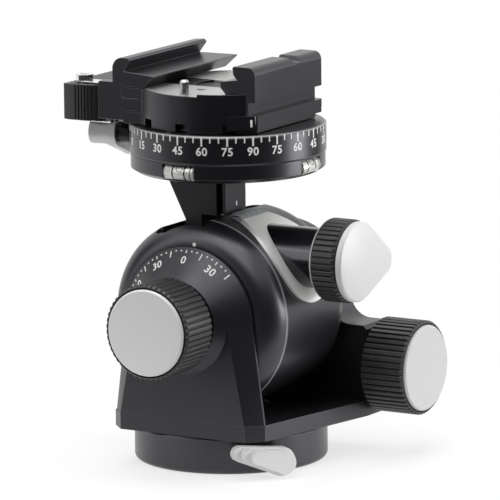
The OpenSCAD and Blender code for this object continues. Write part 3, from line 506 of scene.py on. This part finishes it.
def ribbedKnob(name, k):
    count = k["teeth"] * rib["perTooth"]
    clearSelection()
    bpy.ops.mesh.primitive_circle_add(vertices=count, radius=k["r"] * mm, fill_type="NGON",
                                      location=(0, 0, 0))
    piece = bpy.context.object
    piece.name = name
    for v in piece.data.vertices:              # start the numbering on the X axis
        v.co = Vector((v.co.y, -v.co.x, v.co.z))
    bpy.ops.object.mode_set(mode="EDIT")
    for corners, depth in ((rib["groove"], rib["depth"]), (rib["lip"], rib["lipDepth"])):
        ringSelect(piece, count, 0, corners)
        size = (k["r"] - depth) / k["r"]
        bpy.ops.transform.resize(value=(size, size, 1), center_override=(0, 0, 0))
    bpy.ops.mesh.select_all(action="SELECT")
    straight = k["length"] - k["nose"]
    end = straight + rib["end"][1]
    low = 0.0
    for height in (rib["startRise"], straight + rib["end"][0], end):
        bpy.ops.mesh.extrude_region_move(TRANSFORM_OT_translate={"value": (0, 0, (height - low) * mm)})
        low = height
    tips = [i for i in range(rib["perTooth"]) if i not in rib["groove"]]
    for height, depth in ((0.0, rib["startDepth"]), (end, rib["depth"])):
        ringSelect(piece, count, height * mm, tips)
        size = (k["r"] - depth) / k["r"]
        bpy.ops.transform.resize(value=(size, size, 1), center_override=(0, 0, height * mm))
    bpy.ops.mesh.select_all(action="SELECT")
    bpy.ops.mesh.normals_make_consistent(inside=False)
    bpy.ops.object.mode_set(mode="OBJECT")
    smoothed(piece, 24)
    root = k["r"] - rib["depth"]
    outline = [(root, straight + rise) for rise in capEdge["start"]]
    if k["capR"]:
        top, mouth = k["length"] - capEdge["sunk"], k["capR"] + capEdge["lip"]
        outline += [(k["capR"] + capEdge["gap"], top), (mouth, top), (mouth, top - capEdge["deep"])]
    else:
        outline.append((root - capEdge["rimIn"], straight + capEdge["rimRise"]))
    nose = turned(name + ".nose", outline)
    bevelled(nose, capEdge["broken"])
    knob = together(name, [piece, nose])
    settle(knob, k["facing"], k["place"])
    fit(knob, "grip", "knob_black", k["body"], k["node"])


for name, k in knobs.items():
    ribbedKnob(name, k)

caps = {
    "tiltKnobCap": ("tilt_cap", "tilt_drive", "tiltKnob", "frontCap"),
    "rollKnobCap": ("roll_cap", "roll_drive", "rollKnob", "shadedSideCap"),
}
for name, (node, body, knobName, finish) in caps.items():
    k = knobs[knobName]
    edge = [(0.1, 2.0), (0.1, 0.5), (0.55, 0.02), (0.8, 0.0), (6.0, 0.0)]    # inwards and down of the corner
    cap = turned(name, [(k["capR"] - inwards, k["length"] - down) for inwards, down in edge], 192)
    bevelled(cap, 0.08)
    settle(cap, k["facing"], k["place"])
    fit(cap, finish, "bright_alloy", body, node)

# ---- lock lever: a round plate drawn out to a blunt tip ----
lockPlate = {"r": 12.4, "tipR": 4.4, "reach": 20.1, "towards": 83.0, "place": (45.2, 0, lines["tiltZ"]),
             "corners": 288, "layers": ((1.15, 1), (0.2, 0.985), (0.28, 0.985), (0.22, 0.97)),
             "boss": [(3.9, -4.0), (3.9, 0.1)]}


def lockPlateEdge(turn):
    # distance from the centre to the edge, turn measured from the tip
    k = lockPlate
    far = k["reach"] - k["tipR"]
    lean = math.acos((k["r"] - k["tipR"]) / far)
    turn = abs((turn + math.pi) % (2 * math.pi) - math.pi)
    meet = math.atan2(k["tipR"] * math.sin(lean), far + k["tipR"] * math.cos(lean))
    if turn > lean:
        return k["r"]
    if turn > meet:
        return k["r"] / math.cos(turn - lean)
    return far * math.cos(turn) + math.sqrt(k["tipR"] ** 2 - (far * math.sin(turn)) ** 2)


def addLockPlate():
    k = lockPlate
    clearSelection()
    bpy.ops.mesh.primitive_circle_add(vertices=k["corners"], radius=1, fill_type="NGON", location=(0, 0, 0))
    plate = bpy.context.object
    plate.name = "lockPlate"
    for v in plate.data.vertices:
        turn = math.atan2(v.co.y, v.co.x)
        reach = lockPlateEdge(turn - math.radians(k["towards"])) * mm
        v.co = Vector((reach * math.cos(turn), reach * math.sin(turn), 0))
    bpy.ops.object.mode_set(mode="EDIT")
    bpy.ops.mesh.select_all(action="SELECT")
    for rise, grow in k["layers"]:
        bpy.ops.mesh.extrude_region_move(TRANSFORM_OT_translate={"value": (0, 0, rise * mm)})
        bpy.ops.transform.resize(value=(grow, grow, 1), center_override=(0, 0, 0))
    bpy.ops.mesh.select_all(action="SELECT")
    bpy.ops.mesh.normals_make_consistent(inside=False)
    bpy.ops.object.mode_set(mode="OBJECT")
    boss = turned("lockPlate.boss", k["boss"], 48)
    plate = together("lockPlate", [plate, boss])
    smoothed(plate, 40)
    settle(plate, "right", k["place"])
    fit(plate, "shadedLockCap", "bright_alloy", "lock_lever", "lock_lever")


addLockPlate()
print("knobs made")


# ---- painted marks and numbers ----
paintLayer = {"bar": 0.09, "figure": 0.08, "edge": 0.04, "bolder": 0.08, "apart": 1.08}


def strip(name, wide, tall):
    # one mark: a thin bar with its corners broken, lying in X and Y
    clearSelection()
    size = (wide * mm, tall * mm, paintLayer["bar"] * mm)
    bpy.ops.mesh.primitive_cube_add(size=1, location=(0, 0, 0), scale=size)
    piece = bpy.context.object
    bpy.ops.object.transform_apply(location=False, rotation=False, scale=True)
    piece.name = name
    tool = piece.modifiers.new("ends", "BEVEL")
    tool.width, tool.segments, tool.limit_method = paintLayer["edge"] * mm, 2, "NONE"
    tool.use_clamp_overlap = True
    bpy.ops.object.modifier_apply(modifier=tool.name)
    return piece


def figure(text, size):
    clearSelection()
    bpy.ops.object.text_add(location=(0, 0, 0))
    words = bpy.context.object
    words.data.body, words.data.size = text, size * mm
    words.data.align_x, words.data.align_y = "CENTER", "CENTER"
    words.data.extrude, words.data.resolution_u = paintLayer["figure"] / 2 * mm, 4
    words.data.offset = paintLayer["bolder"] * mm
    words.data.space_character = paintLayer["apart"]
    bpy.ops.object.convert(target="MESH")
    piece = bpy.context.object
    bpy.ops.object.mode_set(mode="EDIT")
    bpy.ops.mesh.select_all(action="SELECT")
    bpy.ops.mesh.remove_doubles(threshold=1e-7)
    bpy.ops.object.mode_set(mode="OBJECT")
    return piece


def wrapped(piece, radius, azimuth, height):
    # lays a flat piece on an upright cylinder; azimuth 0 faces the front, 90 the right
    for v in piece.data.vertices:
        turn = math.radians(azimuth) + v.co.x / (radius * mm)
        reach = radius * mm + v.co.z
        v.co = Vector((reach * math.sin(turn), -reach * math.cos(turn), height * mm + v.co.y))
    return piece


# the numbers count down from 90 on each side and up again, so a number is the turn's distance from 90 or 270
# edge is the outline of a light band on the ring's top chamfer, a painted highlight
ringScale = {"r": 30.4, "top": 105.0, "short": 1.8, "long": 2.8, "wide": 0.44, "bold": 0.58, "ninetyAt": 45.8,
             "step": 5, "every": 15, "figures": 100.45, "size": 3.5,
             "edge": [(30.22, 104.80), (30.25, 104.82), (29.93, 105.135), (29.90, 105.115)]}


def ringMarks():
    k = ringScale
    marks = []
    for turn in range(0, 360, k["step"]):
        numbered = turn % k["every"] == 0
        tall, wide = (k["long"], k["bold"]) if numbered else (k["short"], k["wide"])
        bar = strip("mark", wide, tall)
        marks.append(wrapped(bar, k["r"], k["ninetyAt"] + turn, k["top"] - tall / 2))
        if numbered:
            value = abs(90 - turn % 180)
            marks.append(wrapped(figure(str(value), k["size"]), k["r"], k["ninetyAt"] + turn, k["figures"]))
    scale = together("ringScale", marks)
    smoothed(scale)
    fit(scale, "paint", "bright_alloy", "neck")
    # a light band on the ring's top chamfer: a painted highlight
    edge = turned("ringEdgeHighlight", k["edge"], 192)
    smoothed(edge, 60)
    fit(edge, "edge", "bare_alloy", "neck")


ringMarks()

dialScale = {"rim": 22.5, "rimY": -24.3, "flat": 16.4, "flatY": -29.1, "ticks": 21.5, "figures": 18.9,
             "size": 3.5, "from": -75, "to": 45, "step": 5, "wide": 0.42, "short": 1.1, "long": 2.2,
             "shortDrop": 0.2, "longDrop": 0.75,
             "dot": [(0.26, -0.045), (0.30, -0.02), (0.30, 0.03), (0.26, 0.045)]}


def onCone(piece, angle, radius):
    # lays a flat piece on the dial cone, angle clockwise from the top as seen from the front
    k = dialScale
    slope = Vector((0, k["rimY"] - k["flatY"], k["rim"] - k["flat"])).normalized()    # outwards up the cone
    face = Vector((0, -slope.z, slope.y))
    base = Vector((0, k["rimY"], k["rim"])) * mm + slope * (radius - k["rim"]) / slope.z * mm
    lie = Matrix.Translation(base) @ Matrix((Vector((1, 0, 0)), slope, face)).transposed().to_4x4()
    centre = Matrix.Translation((0, 0, lines["rollZ"] * mm))
    turn = centre @ Matrix.Rotation(math.radians(angle), 4, "Y")
    for v in piece.data.vertices:              # follow the cone's curve across
        bend = v.co.x / (radius * mm)
        sag = radius * mm * (1 - math.cos(bend)) * slope.y
        v.co = Vector((radius * mm * math.sin(bend), v.co.y, v.co.z - sag))
    piece.data.transform(turn @ lie)
    return piece


def dialMarks():
    # a short line over each number, a long one halfway, and dots between
    k = dialScale
    marks = []
    for angle in range(k["from"], k["to"] + 1, k["step"]):
        if angle % 30 == 0:
            marks.append(onCone(strip("mark", k["wide"], k["short"]), angle, k["ticks"] - k["shortDrop"]))
            marks.append(onCone(figure(str(abs(angle)), k["size"]), angle, k["figures"]))
        elif angle % 15 == 0:
            marks.append(onCone(strip("mark", k["wide"], k["long"]), angle, k["ticks"] - k["longDrop"]))
        else:
            marks.append(onCone(turned("dot", k["dot"], 16), angle, k["ticks"]))
    scale = together("dialScale", marks)
    smoothed(scale)
    fit(scale, "paint", "bright_alloy", "frame")


dialMarks()


# single marks: white lines that the scales are read against, and the dot over the dial
pointers = {
    "panIndex": {"size": (0.7, 2.2), "r": 29.4, "azimuth": 45.4, "height": 109.0, "body": "clamp"},
    "tiltIndex": {"size": (0.6, 1.4), "place": (2.62, 0.44, 79.7), "body": "neck"},
    "rollDot": {"radius": 0.62, "place": (1.6, -23.2, 70.35), "lean": 4.0, "body": "drum"},
}


def addPointers():
    for name, k in pointers.items():
        if "azimuth" in k:
            mark = wrapped(strip(name, *k["size"]), k["r"], k["azimuth"], k["height"])
        elif "size" in k:
            mark = strip(name, *k["size"])
            upright = Matrix.Rotation(math.pi / 2, 4, "Z") @ Matrix.Rotation(math.pi / 2, 4, "X")
            settle(mark, upright, k["place"])
        else:
            r = k["radius"]
            mark = turned(name, [(r - 0.06, -0.06), (r, -0.03), (r, 0.03), (r - 0.06, 0.05)], 24)
            settle(mark, Matrix.Rotation(math.radians(90 - k["lean"]), 4, "X"), k["place"])
        smoothed(mark)
        fit(mark, "paint", "bright_alloy", k["body"])


addPointers()
print("scales painted")

# ---- spirit levels ----
vials = {"length": 11.0, "away": 27.7, "height": 93.35,
         "glass": {"r": 2.4, "inset": 0.35, "slope": 0.4}, "core": {"r": 2.25, "inset": 0.3, "slope": 0.3},
         "coreShort": 0.3, "line": {"r": 2.34, "inset": 0.14, "slope": 0.02},
         "lines": ((-5.0, 0.3), (-1.9, 0.5), (2.3, 0.5), (4.3, 0.34)),
         "bubble": {"at": 0.5, "major": 1.15, "minor": 0.13, "tilt": 38, "squash": 0.8, "flat": 0.5}}


def rodOutline(middle, half, r, inset, slope):
    # a rod's outline with both ends chamfered
    low, high = middle - half, middle + half
    return [(r - inset, low), (r, low + slope), (r, high - slope), (r - inset, high)]


def bubbleRing():
    # oval outline lying on the upper side of the core
    k = vials["bubble"]
    clearSelection()
    bpy.ops.mesh.primitive_torus_add(major_radius=k["major"] * mm, minor_radius=k["minor"] * mm,
                                     major_segments=40, minor_segments=10, location=(0, 0, 0))
    bubble = bpy.context.object
    r = vials["core"]["r"] * mm
    for v in bubble.data.vertices:
        turn, reach = v.co.y * k["squash"] / r - math.radians(k["tilt"]), r + v.co.z * k["flat"]
        v.co = Vector((reach * math.sin(turn), -reach * math.cos(turn), k["at"] * mm + v.co.x))
    return bubble


def spiritLevel(node, azimuth):
    k = vials
    half = k["length"] / 2
    glass = turned(node + ".tube", rodOutline(0, half, **k["glass"]), 64)
    core = turned(node + ".core", rodOutline(0, half - k["coreShort"], **k["core"]), 64)
    rings = [turned(node + ".line", rodOutline(at, wide / 2, **k["line"]), 48) for at, wide in k["lines"]]
    rings.append(bubbleRing())
    place = Matrix.Translation(Vector((0, -k["away"], k["height"])) * mm)
    turn = Matrix.Rotation(math.radians(azimuth), 4, "Z") @ place @ Matrix.Rotation(math.pi / 2, 4, "Y")
    for part in [glass, core] + rings:
        smoothed(part, 60)
        part.data.transform(turn)
        part.matrix_world = Matrix.Identity(4)
    fit(glass, "glass", "level_glass", "neck", node)
    fit(core, "backing", "level_glass", "neck", node)
    fit(together(node + ".lines", rings), "darkSteel", "dark_steel", "neck", node)


spiritLevel("vial_front", 0)
spiritLevel("vial_side", 90)
print("levels made")


# ---- floor, backdrop and lights ----
# metres here; the floor glows white to the rays that show it, and keeps its shadows out to fadeFrom
studio = {"floor": 14.0, "below": 0.0002, "ambient": 0.42, "glow": 0.7, "fadeFrom": 0.09, "fadeTo": 0.17}
whiteRays = ("Is Camera Ray", "Is Glossy Ray", "Is Transmission Ray")


def addFloor():
    clearSelection()
    bpy.ops.mesh.primitive_plane_add(size=studio["floor"], location=(0, 0, -studio["below"]))
    floor = bpy.context.object
    floor.name = "studioFloor"
    f = Finish("floorPaper", Roughness=0.85)
    where = f.place()
    fibre = f.noise(where, 90, 4.0, 0.6)
    f.set("Base Color", f.mix(fibre, shade(0.92, 0.92, 0.92), shade(0.94, 0.94, 0.94)))
    f.bump(fibre, 0.02, 0.0002)
    glow = f.tree.nodes.new("ShaderNodeEmission")
    glow.inputs[1].default_value = 1.0
    rays = [f.add("ShaderNodeLightPath", output=kind) for kind in whiteRays]
    seen = (rays[0] + rays[1] + rays[2]).clipped()
    x, y, _ = f.split(where)
    away = (x * x + y * y) ** 0.5
    fade = ((away - studio["fadeFrom"]) / (studio["fadeTo"] - studio["fadeFrom"])).clipped()
    white = seen * (studio["glow"] + fade * (1 - studio["glow"]))
    mixer = f.tree.nodes.new("ShaderNodeMixShader")
    f.tree.links.new(white.socket, mixer.inputs[0])
    f.tree.links.new(f.shader.outputs[0], mixer.inputs[1])
    f.tree.links.new(glow.outputs[0], mixer.inputs[2])
    f.tree.links.new(mixer.outputs[0], f.out.inputs[0])
    floor.data.materials.append(f.material)


def addWorld():
    world = bpy.data.worlds.new("studioWorld")
    bpy.context.scene.world = world
    world.use_nodes = True
    tree = world.node_tree
    tree.nodes.clear()
    out = tree.nodes.new("ShaderNodeOutputWorld")
    lit, seen = tree.nodes.new("ShaderNodeBackground"), tree.nodes.new("ShaderNodeBackground")
    lit.inputs[0].default_value, lit.inputs[1].default_value = (1, 1, 1, 1), studio["ambient"]
    seen.inputs[0].default_value, seen.inputs[1].default_value = (1, 1, 1, 1), 1.0
    path, mixer = tree.nodes.new("ShaderNodeLightPath"), tree.nodes.new("ShaderNodeMixShader")
    last = path.outputs[whiteRays[0]]
    for kind in whiteRays[1:]:
        either = tree.nodes.new("ShaderNodeMath")
        either.operation = "MAXIMUM"
        tree.links.new(last, either.inputs[0])
        tree.links.new(path.outputs[kind], either.inputs[1])
        last = either.outputs[0]
    tree.links.new(last, mixer.inputs[0])
    tree.links.new(lit.outputs[0], mixer.inputs[1])
    tree.links.new(seen.outputs[0], mixer.inputs[2])
    tree.links.new(mixer.outputs[0], out.inputs[0])


# black cloths keep the dark metal dark; they stand facing the object, or lie on the floor where they have a
# turn, and no camera ray or shadow ray meets them
cloths = {
    "front": {"at": (0.9, -2.7, 0.75), "wide": 5.2, "tall": 1.7},
    "left": {"at": (-2.3, -1.5, 0.75), "wide": 3.0, "tall": 1.7},
    "right": {"at": (2.9, -0.6, 0.75), "wide": 2.6, "tall": 1.7},
    "low": {"at": (0.70, -1.15, 0.001), "wide": 3.0, "tall": 2.5, "turn": 31.3},
    "lowRight": {"at": (0.40, 0.753, 0.001), "wide": 1.05, "tall": 0.3, "turn": 62},
}


def addCloths():
    f = Finish("studioClothBlack", Roughness=0.9, Specular_IOR_Level=0.1)
    weave = f.noise(f.place(), 400, 3.0, 0.6)
    f.set("Base Color", f.mix(weave, shade(0.02, 0.02, 0.02), shade(0.03, 0.03, 0.03)))
    f.bump(weave, 0.05, 0.0002)
    for name, k in cloths.items():
        clearSelection()
        bpy.ops.mesh.primitive_plane_add(size=1, location=(0, 0, 0))
        sheet = bpy.context.object
        sheet.name = "studioCloth." + name
        at = Vector(k["at"])
        if "turn" in k:
            facing = Matrix.Rotation(math.radians(k["turn"]), 4, "Z")
        else:
            facing = Vector((-at.x, -at.y, 0)).to_track_quat("Z", "Y").to_matrix().to_4x4()
        size = Matrix.Diagonal((k["wide"], k["tall"], 1, 1))
        sheet.data.transform(Matrix.Translation(at) @ facing @ size)
        sheet.visible_camera = sheet.visible_shadow = False
        sheet.data.materials.append(f.material)


lampAim = (0, 0, 0.06)
lamps = {
    "overhead": {"at": (-0.1, -0.05, 1.4), "size": (1.7, 1.1), "power": 16},
    "frontTop": {"at": (0.05, -1.2, 1.2), "size": (1.6, 0.7), "power": 7},
    "rightBox": {"at": (1.35, 0.7, 0.4), "size": (0.9, 0.66), "power": 8},
    "rightStrip": {"at": (0.46, 0.24, 0.11), "size": (0.24, 0.2), "power": 0.9},
    "leftBox": {"at": (-1.1, -1.35, 0.56), "size": (0.8, 1.1), "power": 5.5},
}


def addLamps():
    for name, k in lamps.items():
        data = bpy.data.lights.new(name, "AREA")
        data.shape, data.energy = "RECTANGLE", k["power"]
        data.size, data.size_y = k["size"]
        lamp = bpy.data.objects.new(name, data)
        lamp.visible_camera = False
        bpy.context.scene.collection.objects.link(lamp)
        at = Vector(k["at"])
        facing = (Vector(lampAim) - at).to_track_quat("-Z", "Y").to_matrix().to_4x4()
        lamp.matrix_world = Matrix.Translation(at) @ facing


addFloor()
addWorld()
addCloths()
addLamps()
bpy.context.scene.view_settings.view_transform = "Standard"
print("studio lit")
